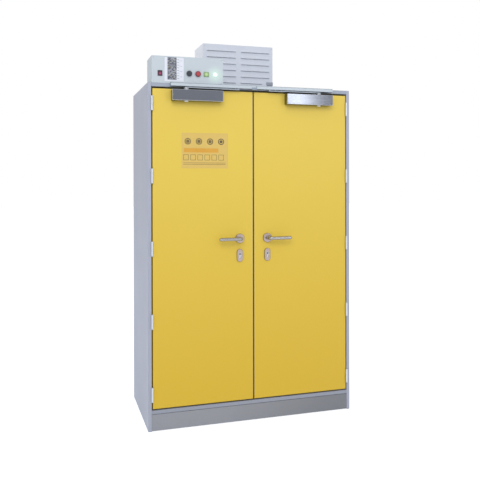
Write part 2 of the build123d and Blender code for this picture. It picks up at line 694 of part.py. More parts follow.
def louvre_tools(length):
    """The upper half of one pressed louvre, and the hollow to cut under it."""
    upper = Pos(0, 0, LOUVRE_RISE * 2) * Box(length + 2, LOUVRE_RISE * 4, LOUVRE_RISE * 4)
    hood = capsule(length, LOUVRE_RISE) & upper
    hollow = capsule(length - 2 * SHEET, LOUVRE_RISE - SHEET) & upper
    return hood, hollow


def vent_cover():
    """Front cover of the fan box with two columns of pressed louvres, open at the bottom."""
    face_y = VENT_FRONT
    cover = block((-VENT_HALF, VENT_HALF), (face_y, face_y + SHEET), (HEIGHT, VENT_TOP))
    hoods, hollows = [], []
    for row in range(LOUVRE_ROWS):
        length = LOUVRE_LENGTH if row < LOUVRE_ROWS - 1 else LAST_LOUVRE
        hood, hollow = louvre_tools(length)
        for column in (-1, 1):
            x = column * (LOUVRE_X - (LOUVRE_LENGTH - length) / 2)
            place = Pos(x, face_y, LOUVRE_TOP - row * LOUVRE_PITCH)
            hoods.append(place * hood)
            hollows.append(place * hollow)
    behind = block((-VENT_HALF, VENT_HALF), (face_y + SHEET, face_y + 30), (HEIGHT, VENT_TOP))
    return cover + hoods - behind - hollows


def fan_motor():
    """Motor on a plate that hangs from the top of the box on four posts."""
    low, high = MOTOR_Z
    plate_half, plate_top, post_at, post_r = 80, high + 2, 70, 5
    motor = rod(0, DUCT_Y, MOTOR_Z, 45) + rod(0, DUCT_Y, (low - 6, low), 20)
    motor -= rod(0, DUCT_Y, (low - 10, high - 5), SHAFT_R + 0.05)
    plate = block((-plate_half, plate_half), grown((DUCT_Y, DUCT_Y), plate_half), (high, plate_top))
    posts = [rod(x, DUCT_Y + y, (plate_top, VENT_TOP - SHEET), post_r)
             for x in (-post_at, post_at) for y in (-post_at, post_at)]
    return [motor, plate] + posts


def fan_impeller():
    """Backward-curved wheel: hub, back plate, eight blades and an inlet ring, on its shaft."""
    (low, high), plate, blades, inlet_r, hub_r = WHEEL_Z, 2, 8, 52, 16
    wheel = rod(0, 0, (high, high + plate), WHEEL_R) + rod(0, 0, (high - 22, high + 8), hub_r)
    blade_arc = CenterArc((30, 0), 40, 20, 85)
    blade = Pos(-10, 0, low) * extrude(trace(blade_arc, 2), high - low + 1)
    wheel += [Rot(0, 0, 360 * i / blades) * blade for i in range(blades)]
    ring_z = (low - plate, low)
    ring = rod(0, 0, ring_z, WHEEL_R) - rod(0, 0, grown(ring_z, 1), inlet_r)
    wheel += ring + rod(0, 0, (high, MOTOR_Z[1] - 10), SHAFT_R)
    return Pos(0, DUCT_Y, 0) * wheel


def exhaust_spigot():
    """Round outlet with its flange, for an exhaust hose."""
    y, flange, flange_r = (VENT_BACK - SHEET, VENT_BACK + 45), 2, SPIGOT_R + 12
    spigot = bar(0, y, SPIGOT_Z, SPIGOT_R)
    spigot += bar(0, (VENT_BACK, VENT_BACK + flange), SPIGOT_Z, flange_r)
    return spigot - bar(0, grown(y, 1), SPIGOT_Z, SPIGOT_R - SHEET)


def filter_cassette():
    """Pleated filter in a frame behind the louvres."""
    x, y, z = (-205, 205), (VENT_FRONT + 10, VENT_FRONT + 30), (HEIGHT + SHEET, VENT_TOP - 10)
    rim, pleats, fleece = 8, 12, 3
    in_x, in_z = grown(x, -rim), grown(z, -rim)
    frame = block(x, y, z) - block(in_x, grown(y, 1), in_z)
    step = (in_x[1] - in_x[0]) / (2 * pleats)
    front = [(in_x[0] + i * step, y[0] + 2 if i % 2 else y[1] - 5) for i in range(2 * pleats + 1)]
    back = [(px, py + fleece) for px, py in reversed(front)]
    media = extrude(make_face(Polyline(*front, *back, close=True)), in_z[1] - in_z[0])
    return frame + Pos(0, 0, in_z[0]) * media


def terminal_cover():
    """Dark cap over the fan's supply terminals, at the lower right of the cover."""
    cap = block((VENT_HALF - 40, VENT_HALF), (VENT_FRONT - 8, VENT_FRONT), (1951, 1970))
    return fillet(cap.faces().sort_by(Axis.Y)[0].edges(), 2)


# -------------------------------------------------------------------------- nodes

save_pair("side_panel", side_panel())
save("roof_pan", roof_pan())
save("floor_pan", floor_pan())
save("back_panel", back_panel())
save("base_frame", base_frame())
save("levelling_feet", *levelling_feet())
save("plinth_cover", plinth_cover())
save("insulation_boards", *insulation_boards())
save("inner_lining", *inner_lining())
save("rebate_frame", *rebate_frame())
save("rebate_seals", *rebate_seals())

save("frame_hinges", *frame_leaves(), *mirrored(frame_leaves()))
save("hinge_pins", *hinge_pins(), *mirrored(hinge_pins()))
save_pair("door_hinges", *door_leaves())

save_pair("door_skin", door_skin())
save_pair("door_core", door_core())
save_pair("door_liner", door_liner())
save_pair("lock_case", *lock_case())
save_pair("handle_plates", *handle_plates())
save_pair("lever", lever())
save_pair("key_plug", key_plug())
save_pair("latch_rod", latch_rod())

save_pair("closer_body", closer_body())
save_pair("closer_arm", closer_arm())
save_pair("slide_block", slide_block())
save("guide_rail", *guide_rail())
save("closing_sequencer", closing_sequencer())

save("shelf_supports", *shelf_supports())
save("shelves", *[shelf(top) for top in SHELF_TOPS])
save("sump_tray", *sump_tray())
save("ceiling_valve", ceiling_valve())
save("smoke_detector", smoke_detector())

save("control_housing", *control_housing())
save("control_panel", control_panel())
save("indicator_plate", *indicator_plate())
save("panel_bezels", *panel_bezels())
save("signal_lamps", *signal_lamps())
save("power_switch", power_switch())
save("black_button", push_button(BLACK_X))
save("red_button", push_button(RED_X))

save("vent_housing", *vent_housing())
save("vent_cover", vent_cover())
save("fan_motor", *fan_motor())
save("fan_impeller", fan_impeller())
save("exhaust_spigot", exhaust_spigot())
save("filter_cassette", filter_cassette())
save("terminal_cover", terminal_cover())
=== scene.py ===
import math
import bmesh
import bpy
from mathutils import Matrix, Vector


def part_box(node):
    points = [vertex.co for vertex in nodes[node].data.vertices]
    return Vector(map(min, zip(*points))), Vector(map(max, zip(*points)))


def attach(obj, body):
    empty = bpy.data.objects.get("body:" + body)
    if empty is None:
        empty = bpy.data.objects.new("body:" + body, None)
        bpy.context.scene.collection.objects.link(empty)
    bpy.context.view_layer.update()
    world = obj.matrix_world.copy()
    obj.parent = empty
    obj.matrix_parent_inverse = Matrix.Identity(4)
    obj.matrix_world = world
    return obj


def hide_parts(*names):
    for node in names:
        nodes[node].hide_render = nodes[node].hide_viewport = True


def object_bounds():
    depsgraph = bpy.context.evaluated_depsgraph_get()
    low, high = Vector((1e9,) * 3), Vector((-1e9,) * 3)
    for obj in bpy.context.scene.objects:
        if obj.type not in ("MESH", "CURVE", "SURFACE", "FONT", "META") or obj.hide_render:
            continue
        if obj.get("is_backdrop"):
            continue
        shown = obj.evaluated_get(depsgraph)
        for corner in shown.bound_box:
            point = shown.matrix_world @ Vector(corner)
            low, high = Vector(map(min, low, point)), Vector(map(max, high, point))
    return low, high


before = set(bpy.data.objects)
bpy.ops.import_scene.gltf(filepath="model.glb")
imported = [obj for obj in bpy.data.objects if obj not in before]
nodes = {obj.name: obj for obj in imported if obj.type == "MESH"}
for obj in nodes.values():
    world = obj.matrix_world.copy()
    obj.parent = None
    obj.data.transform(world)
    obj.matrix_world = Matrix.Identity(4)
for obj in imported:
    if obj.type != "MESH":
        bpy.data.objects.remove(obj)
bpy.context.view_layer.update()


# ------------------------------------------------------------------ studio
# The cabinet stands on a plain pale floor under a white surround, with a broad soft box
# in front and a narrow one for the shine on the closers. The camera is at eye level.

def linear(colour):
    """The linear values that a shader takes, from an sRGB hex colour."""
    parts = [int(colour[i:i + 2], 16) / 255 for i in (1, 3, 5)]
    return [c / 12.92 if c <= 0.04045 else ((c + 0.055) / 1.055) ** 2.4 for c in parts] + [1.0]


def add(tree, kind, sockets=None, **settings):
    """Add one node with its settings; a socket takes a value or a link from another node."""
    made = tree.nodes.new(kind)
    for name, value in settings.items():
        setattr(made, name, value)
    for name, value in (sockets or {}).items():
        socket = made.inputs[name]
        if isinstance(value, bpy.types.NodeSocket):
            tree.links.new(value, socket)
        else:
            socket.default_value = value
    return made


def seen_directly(tree):
    """1 for rays from the camera, off a mirror or through glass, 0 for rays that only light."""
    ray = add(tree, "ShaderNodeLightPath").outputs
    share = add(tree, "ShaderNodeMath", {0: ray["Is Camera Ray"], 1: ray["Is Glossy Ray"]},
                operation="MAXIMUM")
    return add(tree, "ShaderNodeMath", {0: share.outputs[0], 1: ray["Is Transmission Ray"]},
               operation="MAXIMUM").outputs[0]


scene = bpy.context.scene
scene.view_settings.view_transform = "Standard"

surround = bpy.data.worlds.new("white_surround")
surround.use_nodes = True
scene.world = surround
sky = surround.node_tree
sky.nodes.clear()
room_light = add(sky, "ShaderNodeBackground", {"Color": linear("#F4F7FF"), "Strength": 0.80})
white = add(sky, "ShaderNodeBackground", {"Color": (1, 1, 1, 1), "Strength": 1.0})
both = add(sky, "ShaderNodeMixShader", {0: seen_directly(sky), 1: room_light.outputs[0], 2: white.outputs[0]})
add(sky, "ShaderNodeOutputWorld", {"Surface": both.outputs[0]})


def soft_lamp(name, place, target, size, power):
    """Square soft box that faces a point on the cabinet."""
    light = bpy.data.lights.new(name, "AREA")
    light.shape = "RECTANGLE"
    light.size, light.size_y = size
    light.energy = power
    lamp = bpy.data.objects.new(name, light)
    lamp.location = place
    lamp.rotation_euler = (Vector(target) - Vector(place)).to_track_quat("-Z", "Y").to_euler()
    scene.collection.objects.link(lamp)


soft_lamp("front_box", (-1.6, -5.2, 4.2), (0.0, -0.3, 1.2), (3.0, 2.4), 95)
soft_lamp("closer_strip", (1.72, -4.0, 2.4), (0.25, -0.35, 1.9), (0.30, 1.2), 9)

view = bpy.data.cameras.new("eye_level")
view.lens = 47.43
view.sensor_width = 36.0
view.shift_x, view.shift_y = -0.0021, -0.121
camera = bpy.data.objects.new("eye_level", view)
camera.location = (-1.1175, -3.7146, 1.3603)
camera.rotation_euler = [math.radians(angle) for angle in (89.8885, 0.104, -16.995)]
scene.collection.objects.link(camera)
scene.camera = camera

FLOOR_REACH = 30.0
floor_mesh = bpy.data.meshes.new("studio_floor")
corners = [(x * FLOOR_REACH, y * FLOOR_REACH, 0) for x, y in ((-1, -1), (1, -1), (1, 1), (-1, 1))]
floor_mesh.from_pydata(corners, [], [(0, 1, 2, 3)])
floor = bpy.data.objects.new("studio_floor", floor_mesh)
scene.collection.objects.link(floor)
floor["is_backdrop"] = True
painted = bpy.data.materials.new("white_floor_paint")
painted.use_nodes = True
tree = painted.node_tree
tree.nodes.clear()
paint = add(tree, "ShaderNodeBsdfDiffuse", {"Color": linear("#DCDFE4")})
lift = add(tree, "ShaderNodeEmission", {"Color": (1, 1, 1, 1), "Strength": 0.62})
lifted = add(tree, "ShaderNodeAddShader", {0: paint.outputs[0], 1: lift.outputs[0]})
floor_mix = add(tree, "ShaderNodeMixShader", {0: seen_directly(tree), 1: paint.outputs[0],
                                              2: lifted.outputs[0]})
add(tree, "ShaderNodeOutputMaterial", {"Surface": floor_mix.outputs[0]})
floor_mesh.materials.append(painted)


# ----------------------------------------------------------- carcass skins
# Side panels, roof, floor pan, back and the sheet strips round the doors: 1.5 mm steel,
# folded on a press brake and powder coated in a light bluish grey.

MM = 0.001


def blank_material(name):
    """A new material with its surface shader and the object's own coordinates."""
    made = bpy.data.materials.new(name)
    made.use_nodes = True
    made.node_tree.nodes.clear()
    shader = add(made.node_tree, "ShaderNodeBsdfPrincipled")
    add(made.node_tree, "ShaderNodeOutputMaterial", {"Surface": shader.outputs[0]})
    place = add(made.node_tree, "ShaderNodeTexCoord").outputs["Object"]
    return made, made.node_tree, shader, place


def powder_coat(name, colour, pale, roughness, painted_shade_ramp=None):
    """Satin polyester powder coat: even colour with a faint cloud where the film is thicker,
    and the fine orange peel of the cured powder. Peel is 1 mm across, drawn at 3 mm to show.
    A painted shade ramp names an axis, where it starts and ends, and the colour that the coat is painted to
    there as painted shade."""
    made, tree, shader, place = blank_material(name)
    cloud = add(tree, "ShaderNodeTexNoise", {"Vector": place, "Scale": 1 / (240 * MM), "Detail": 3.0})
    # Sockets 6 and 7 of a Mix node are its two colours.
    colours = add(tree, "ShaderNodeMix", {0: cloud.outputs[0], 6: linear(colour), 7: linear(pale)},
                  data_type="RGBA").outputs[2]
    # Painted shade: the coat is mixed towards a darker colour along one axis.
    if painted_shade_ramp:
        axis, start, end, shade_colour = painted_shade_ramp
        along = add(tree, "ShaderNodeSeparateXYZ", {0: place}).outputs[axis]
        share = add(tree, "ShaderNodeMapRange", {"Value": along, "From Min": start, "From Max": end},
                    interpolation_type="SMOOTHSTEP").outputs[0]
        colours = add(tree, "ShaderNodeMix", {0: share, 6: colours, 7: linear(shade_colour)},
                      data_type="RGBA").outputs[2]
    tree.links.new(colours, shader.inputs["Base Color"])
    fine = add(tree, "ShaderNodeTexNoise", {"Vector": place, "Scale": 1 / (3 * MM), "Detail": 1.0})
    gloss = add(tree, "ShaderNodeMapRange", {"Value": cloud.outputs[0], "From Min": 0.3, "From Max": 0.7,
                                             "To Min": roughness - 0.04, "To Max": roughness + 0.05})
    tree.links.new(gloss.outputs[0], shader.inputs["Roughness"])
    peel = add(tree, "ShaderNodeBump", {"Height": fine.outputs[0], "Strength": 0.12, "Distance": 0.05 * MM})
    tree.links.new(peel.outputs[0], shader.inputs["Normal"])
    return made


def paint_nodes(material, *names):
    """Give CAD nodes their finish."""
    for name in names:
        mesh = nodes[name].data
        mesh.materials.clear()
        mesh.materials.append(material)


carcass_coat = powder_coat("powder_coated_steel_light_grey", "#A9ADBA", "#B2B5C2", 0.46)
paint_nodes(carcass_coat, "left_side_panel", "right_side_panel", "back_panel", "rebate_frame")
# Painted shade: the roof pan and floor pan take the same light grey coat, painted darker.
paint_nodes(powder_coat("powder_coated_steel_rail_painted_shade", "#9EA6B2", "#A7AEBA", 0.46), "roof_pan")
paint_nodes(powder_coat("powder_coated_steel_sill_painted_shade", "#979CA8", "#A0A4B0", 0.48), "floor_pan")


def named_inputs(tree, rows):
    """Named inputs of a Geometry Nodes tree, with their kinds and first values."""
    for name, kind, value in rows:
        socket = tree.interface.new_socket(name, in_out="INPUT", socket_type="NodeSocket" + kind)
        if value is not None:
            socket.default_value = value
    tree.interface.new_socket("Pieces", in_out="OUTPUT", socket_type="NodeSocketGeometry")
    return tree.nodes.new("NodeGroupInput").outputs


def spaced_points(tree, given):
    """Points in rows: Count points a Step apart from First, repeated Rows times a Row apart."""
    rows = add(tree, "GeometryNodeMeshLine", {"Count": given["Rows"], "Offset": given["Row"]})
    line = add(tree, "GeometryNodeMeshLine", {"Count": given["Count"], "Start Location": given["First"],
                                              "Offset": given["Step"]})
    grid = add(tree, "GeometryNodeInstanceOnPoints", {"Points": rows.outputs[0], "Instance": line.outputs[0]})
    return add(tree, "GeometryNodeRealizeInstances", {0: grid.outputs[0]}).outputs[0]


def realized(tree, placed, given):
    """Close a tree: real meshes in the given finish."""
    real = add(tree, "GeometryNodeRealizeInstances", {0: placed})
    finish = add(tree, "GeometryNodeSetMaterial", {0: real.outputs[0], "Material": given["Finish"]})
    tree.links.new(finish.outputs[0], tree.nodes.new("NodeGroupOutput").inputs[0])


SPACING = (("Count", "Int", 2), ("Rows", "Int", 1), ("First", "Vector", (0, 0, 0)),
           ("Step", "Vector", (0.1, 0, 0)), ("Row", "Vector", (0, 0, 0.1)), ("Finish", "Material", None))


def screw_tree():
    """Pan head screws with a cross recess, in rows."""
    made = bpy.data.node_groups.new("screw_rows", "GeometryNodeTree")
    given = named_inputs(made, SPACING + (("Turn", "Vector", (0, 0, 0)), ("Radius", "Float", 0.004),
                                          ("Height", "Float", 0.002)))
    ball = add(made, "GeometryNodeMeshUVSphere", {"Segments": 20, "Rings": 12, "Radius": 1.0})
    size = add(made, "ShaderNodeCombineXYZ", {"X": given["Radius"], "Y": given["Radius"],
                                              "Z": given["Height"]})
    dome = add(made, "GeometryNodeTransform", {"Geometry": ball.outputs[0], "Scale": size.outputs[0]})
    cut = add(made, "GeometryNodeMeshBoolean", {"Mesh 1": dome.outputs[0]}, operation="DIFFERENCE")
    long = add(made, "ShaderNodeMath", {0: given["Radius"], 1: 1.15}, operation="MULTIPLY").outputs[0]
    thin = add(made, "ShaderNodeMath", {0: given["Radius"], 1: 0.24}, operation="MULTIPLY").outputs[0]
    top = add(made, "ShaderNodeCombineXYZ", {"Z": given["Height"]}).outputs[0]
    for wide, deep in ((long, thin), (thin, long)):
        wing = add(made, "ShaderNodeCombineXYZ", {"X": wide, "Y": deep, "Z": given["Height"]})
        bar = add(made, "GeometryNodeMeshCube", {"Size": wing.outputs[0]})
        raised = add(made, "GeometryNodeTransform", {"Geometry": bar.outputs[0], "Translation": top})
        made.links.new(raised.outputs[0], cut.inputs["Mesh 2"])
    turn = add(made, "FunctionNodeEulerToRotation", {0: given["Turn"]})
    placed = add(made, "GeometryNodeInstanceOnPoints", {"Points": spaced_points(made, given),
                                                        "Instance": cut.outputs[0],
                                                        "Rotation": turn.outputs[0]})
    realized(made, placed.outputs[0], given)
    return made


def grown_from(tree, name, body, slot, smooth=True, **values):
    """A piece made by a Geometry Nodes tree with these inputs, as a plain mesh that rides on a body."""
    carrier = bpy.data.objects.new(name + "_carrier", bpy.data.meshes.new(name + "_carrier"))
    scene.collection.objects.link(carrier)
    maker = carrier.modifiers.new("maker", "NODES")
    maker.node_group = tree
    for item in tree.interface.items_tree:
        if item.item_type == "SOCKET" and item.in_out == "INPUT" and item.name in values:
            maker[item.identifier] = values[item.name]
    bpy.context.view_layer.update()
    ready = carrier.evaluated_get(bpy.context.evaluated_depsgraph_get())
    mesh = bpy.data.meshes.new_from_object(ready)
    bpy.data.objects.remove(carrier)
    mesh.name = name
    piece = bpy.data.objects.new(name, mesh)
    scene.collection.objects.link(piece)
    if smooth:
        mesh.shade_smooth()
        mesh.set_sharp_from_angle(angle=math.radians(35))
    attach(piece, body)
    return piece


def zinc_plate(name, colour, pale, roughness):
    """Bright zinc plating on steel: a soft metal sheen with a fine mottled crystal pattern,
    2.5 mm across, and broad patches where it was handled."""
    made, tree, shader, place = blank_material(name)
    shader.inputs["Metallic"].default_value = 1.0
    crystal = add(tree, "ShaderNodeTexVoronoi", {"Vector": place, "Scale": 1 / (2.5 * MM)})
    grain = add(tree, "ShaderNodeTexNoise", {"Vector": place, "Scale": 1 / (30 * MM), "Detail": 4.0})
    tint = add(tree, "ShaderNodeMix", {0: crystal.outputs["Color"], 6: linear(colour), 7: linear(pale)},
               data_type="RGBA")
    tree.links.new(tint.outputs[2], shader.inputs["Base Color"])
    gloss = add(tree, "ShaderNodeMapRange", {"Value": grain.outputs[0], "From Min": 0.3, "From Max": 0.7,
                                             "To Min": roughness - 0.06, "To Max": roughness + 0.08})
    tree.links.new(gloss.outputs[0], shader.inputs["Roughness"])
    return made


screws = screw_tree()
zinc = zinc_plate("zinc_plated_steel", "#B4B6BB", "#C6C9CE", 0.34)
TO_FRONT = (math.pi / 2, 0, 0)
TO_BACK = (-math.pi / 2, 0, 0)
BACK_INSET, BACK_SUNK = 0.008, 0.0002
low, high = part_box("back_panel")
grown_from(screws, "back_panel_screws", "cabinet", "zinc_steel", Count=7,
           First=(low.x + BACK_INSET, high.y - BACK_SUNK, 0.12), Step=(0, 0, 0.28), Rows=2,
           Row=(high.x - low.x - 2 * BACK_INSET, 0, 0), Turn=TO_BACK, Radius=0.004, Height=0.0003,
           Finish=zinc)


# ------------------------------------------------------------ base and plinth
# Welded base ring of folded channel with screw feet, behind a removable kick plate.
# Same powder coat in a darker grey, painted darker towards its right end as painted shade.

plinth_coat = powder_coat("powder_coated_steel_mid_grey", "#95979D", "#A0A1A6", 0.5,
                          painted_shade_ramp=("X", -0.35, 0.65, "#808286"))
paint_nodes(plinth_coat, "base_frame", "plinth_cover")
paint_nodes(zinc, "levelling_feet")
PLINTH_INSET = 0.03
low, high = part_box("plinth_cover")
grown_from(screws, "plinth_cover_screws", "cabinet", "plinth_grey", Count=2,
           First=(low.x + PLINTH_INSET, low.y, 0.047), Step=(high.x - low.x - 2 * PLINTH_INSET, 0, 0),
           Turn=TO_FRONT, Radius=0.004, Height=0.0009, Finish=plinth_coat)


# -------------------------------------------------- fire boards and lining
# Calcium silicate fire boards fill the walls; cut edges are chalky with short fibres.
# Inside they are faced with white melamine coated boards.

def fire_board(name):
    """Sawn calcium silicate board: matt off-white with short darker fibres, 4 mm long and
    lying flat."""
    made, tree, shader, place = blank_material(name)
    stretched = add(tree, "ShaderNodeMapping", {"Vector": place, "Scale": (1.0, 1.0, 5.0)})
    fibre = add(tree, "ShaderNodeTexNoise", {"Vector": stretched.outputs[0], "Scale": 1 / (4 * MM),
                                             "Detail": 4.0})
    tint = add(tree, "ShaderNodeMix", {0: fibre.outputs[0], 6: linear("#D8D4C9"), 7: linear("#BDB8AB")},
               data_type="RGBA")
    tree.links.new(tint.outputs[2], shader.inputs["Base Color"])
    shader.inputs["Roughness"].default_value = 0.92
    chalk = add(tree, "ShaderNodeBump", {"Height": fibre.outputs[0], "Strength": 0.4, "Distance": 0.3 * MM})
    tree.links.new(chalk.outputs[0], shader.inputs["Normal"])
    return made


def melamine(name, colour, pale, roughness):
    """Melamine faced board or moulded plastic skin: a low sheen over a fine pearl texture, 1.5 mm."""
    made, tree, shader, place = blank_material(name)
    cloud = add(tree, "ShaderNodeTexNoise", {"Vector": place, "Scale": 1 / (120 * MM), "Detail": 2.0})
    tint = add(tree, "ShaderNodeMix", {0: cloud.outputs[0], 6: linear(colour), 7: linear(pale)},
               data_type="RGBA")
    tree.links.new(tint.outputs[2], shader.inputs["Base Color"])
    pearl = add(tree, "ShaderNodeTexVoronoi", {"Vector": place, "Scale": 1 / (1.5 * MM)})
    shader.inputs["Roughness"].default_value = roughness
    skin = add(tree, "ShaderNodeBump", {"Height": pearl.outputs["Distance"], "Strength": 0.15,
                                        "Distance": 0.04 * MM})
    tree.links.new(skin.outputs[0], shader.inputs["Normal"])
    return made


paint_nodes(fire_board("calcium_silicate_board"), "insulation_boards", "left_door_core", "right_door_core")
paint_nodes(melamine("white_melamine_board", "#E4E7E8", "#EDEFEF", 0.38), "inner_lining")


# ------------------------------------------------------------------- seals
# Strips of intumescent graphite that swell in a fire, in a black carrier, and a soft
# rubber bead beside them that the door's back cover closes on.

def rubber(name, colour, pale):
    """Extruded EPDM rubber or graphite film: dark and matt, with faint blotches 6 mm across."""
    made, tree, shader, place = blank_material(name)
    blotch = add(tree, "ShaderNodeTexNoise", {"Vector": place, "Scale": 1 / (6 * MM), "Detail": 2.0})
    tint = add(tree, "ShaderNodeMix", {0: blotch.outputs[0], 6: linear(colour), 7: linear(pale)},
               data_type="RGBA")
    tree.links.new(tint.outputs[2], shader.inputs["Base Color"])
    shader.inputs["Roughness"].default_value = 0.72
    bead = add(tree, "ShaderNodeBump", {"Height": blotch.outputs[0], "Strength": 0.2, "Distance": 0.1 * MM})
    tree.links.new(bead.outputs[0], shader.inputs["Normal"])
    return made


paint_nodes(rubber("black_epdm_rubber", "#17181A", "#26272A"), "rebate_seals")


# ------------------------------------------------------------------ hinges
# Five weld-on barrel hinges a door, turned from steel bar and left bright, with a
# pin through both knuckles and a thin washer where they meet.

def bright_steel(name, colour, pale, roughness, along):
    """Turned or drawn steel: fine tool lines across the given axis, 0.4 mm apart, drawn at 1.2 mm."""
    made, tree, shader, place = blank_material(name)
    shader.inputs["Metallic"].default_value = 1.0
    scale = [1.0, 1.0, 1.0]
    scale["XYZ".index(along)] = 14.0
    drawn = add(tree, "ShaderNodeMapping", {"Vector": place, "Scale": scale})
    lines = add(tree, "ShaderNodeTexNoise", {"Vector": drawn.outputs[0], "Scale": 1 / (17 * MM),
                                             "Detail": 3.0})
    tint = add(tree, "ShaderNodeMix", {0: lines.outputs[0], 6: linear(colour), 7: linear(pale)},
               data_type="RGBA")
    tree.links.new(tint.outputs[2], shader.inputs["Base Color"])
    gloss = add(tree, "ShaderNodeMapRange", {"Value": lines.outputs[0], "From Min": 0.3, "From Max": 0.7,
                                             "To Min": roughness - 0.05, "To Max": roughness + 0.07})
    tree.links.new(gloss.outputs[0], shader.inputs["Roughness"])
    return made


hinge_steel = bright_steel("turned_bright_steel", "#B9BEC5", "#CFD3D9", 0.42, "Z")
paint_nodes(hinge_steel, "frame_hinges", "hinge_pins", "left_door_hinges", "right_door_hinges")


# ------------------------------------------------------------------- doors
# Each door is a flat pan of 1.2 mm steel with four folded edges, filled with fire board
# and closed by a back cover. The pans are powder coated in a warm yellow.

# Painted shade: the yellow is painted darker from 1.75 m down to 0.15 m, towards the bottom of the doors.
door_coat = powder_coat("powder_coated_steel_yellow", "#E8C84A", "#EBCC52", 0.42,
                        painted_shade_ramp=("Z", 1.75, 0.15, "#E1BB30"))
paint_nodes(door_coat, "left_door_skin", "right_door_skin")
paint_nodes(powder_coat("powder_coated_steel_pale_grey", "#D0D4D9", "#D9DDE1", 0.45),
            "left_door_liner", "right_door_liner")


# --------------------------------------------------------- door edge seals
# A flat intumescent strip, in grey film, glued along each door's closing edge. It fills
# part of the gap between the doors and swells shut in a fire.

EDGE_STRIP = 0.0016
EDGE_BACK, EDGE_WIDE, EDGE_SHORT = 0.0015, 0.0305, 0.02


def rounded_plate(mesh, x, y, z, radius, steps=5):
    """A plate between two Y planes with rounded corners, added to a bmesh."""
    middle_x, middle_z = sum(x) / 2, sum(z) / 2
    half_x, half_z = (x[1] - x[0]) / 2 - radius, (z[1] - z[0]) / 2 - radius
    ring = []
    for corner, (side_x, side_z) in enumerate(((1, 1), (-1, 1), (-1, -1), (1, -1))):
        for step in range(steps + 1):
            angle = math.radians(90 * corner + 90 * step / steps)
            ring.append((middle_x + side_x * half_x + radius * math.cos(angle),
                         middle_z + side_z * half_z + radius * math.sin(angle)))
    front = [mesh.verts.new((px, y[0], pz)) for px, pz in ring]
    back = [mesh.verts.new((px, y[1], pz)) for px, pz in ring]
    mesh.faces.new(front)
    mesh.faces.new(back[::-1])
    count = len(ring)
    for i in range(count):
        j = (i + 1) % count
        mesh.faces.new((front[j], front[i], back[i], back[j]))


def finished(name, mesh, material, body, smooth_angle=None):
    """Turn a bmesh into a named piece that rides on a body."""
    bmesh.ops.recalc_face_normals(mesh, faces=mesh.faces)
    data = bpy.data.meshes.new(name)
    mesh.to_mesh(data)
    mesh.free()
    data.materials.append(material)
    if smooth_angle:
        data.shade_smooth()
        data.set_sharp_from_angle(angle=math.radians(smooth_angle))
    piece = bpy.data.objects.new(name, data)
    scene.collection.objects.link(piece)
    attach(piece, body)
    return piece


edge_film = rubber("grey_graphite_film", "#6E7069", "#7C7E76")
for side in ("left", "right"):
    low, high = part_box(side + "_door_skin")
    edge = high.x if side == "left" else low.x
    away = EDGE_STRIP if side == "left" else -EDGE_STRIP
    strip = bmesh.new()
    rounded_plate(strip, sorted((edge, edge + away)), (low.y + EDGE_BACK, low.y + EDGE_BACK + EDGE_WIDE),
                  (low.z + EDGE_SHORT, high.z - EDGE_SHORT), 0.0004, 2)
    finished(side + "_door_edge_seal", strip, edge_film, side + "_door")


# --------------------------------------------------------------- door film
# A self-adhesive notice film on the left door. It carries no words, signs or marks: only
# four plain rings, an orange band, a row of empty fields and two thin lines.

FILM_X = (-0.415, -0.150)
FILM_Z = (1.429, 1.625)
FILM_FACE = 0.00025


def film(name, colour, pale):
    """Printed polyester film under a clear laminate: even colour, slight gloss over a soft wave."""
    made, tree, shader, place = blank_material(name)
    wave = add(tree, "ShaderNodeTexNoise", {"Vector": place, "Scale": 1 / (60 * MM), "Detail": 2.0})
    tint = add(tree, "ShaderNodeMix", {0: wave.outputs[0], 6: linear(colour), 7: linear(pale)},
               data_type="RGBA")
    tree.links.new(tint.outputs[2], shader.inputs["Base Color"])
    shader.inputs["Roughness"].default_value = 0.3
    shader.inputs["Coat Weight"].default_value = 0.25
    lay = add(tree, "ShaderNodeBump", {"Height": wave.outputs[0], "Strength": 0.2, "Distance": 0.2 * MM})
    tree.links.new(lay.outputs[0], shader.inputs["Normal"])
    return made


door_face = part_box("left_door_skin")[0].y
film_front = door_face - FILM_FACE
sheet = bmesh.new()
rounded_plate(sheet, FILM_X, (film_front, door_face), FILM_Z, 0.004)
polyester = film("yellow_polyester_film", "#DDBA58", "#E2C064")
finished("door_film", sheet, polyester, "left_door")

PRINT = 0.00006
BAND_X = (-0.402, -0.206)
BAND_Z = (1.517, 1.540)
print_y = (film_front - PRINT, film_front)
band = bmesh.new()
rounded_plate(band, BAND_X, print_y, BAND_Z, 0.002)
finished("door_film_band", band, film("orange_print", "#D99A22", "#E3A935"), "left_door")

FIRST_RING = -0.380
RING_STEP = 0.0633
RING_Z = 1.578
RING_FACETS = 28
around_once = [math.tau * i / RING_FACETS for i in range(RING_FACETS)]
rings = bmesh.new()
for column in range(4):
    centre = FIRST_RING + column * RING_STEP
    for inner, outer in ((0.0128, 0.0174), (0.0015, 0.0084)):
        rim = []
        for radius in (inner, outer):
            circle = [(centre + radius * math.cos(angle), RING_Z + radius * math.sin(angle))
                      for angle in around_once]
            for y in print_y:
                rim.append([rings.verts.new((x, y, z)) for x, z in circle])
        for i in range(RING_FACETS):
            j = (i + 1) % RING_FACETS
            for a, b in ((0, 2), (3, 1), (2, 3), (1, 0)):
                rings.faces.new((rim[a][i], rim[a][j], rim[b][j], rim[b][i]))
finished("door_film_rings", rings, film("brown_print", "#33281A", "#443620"), "left_door")

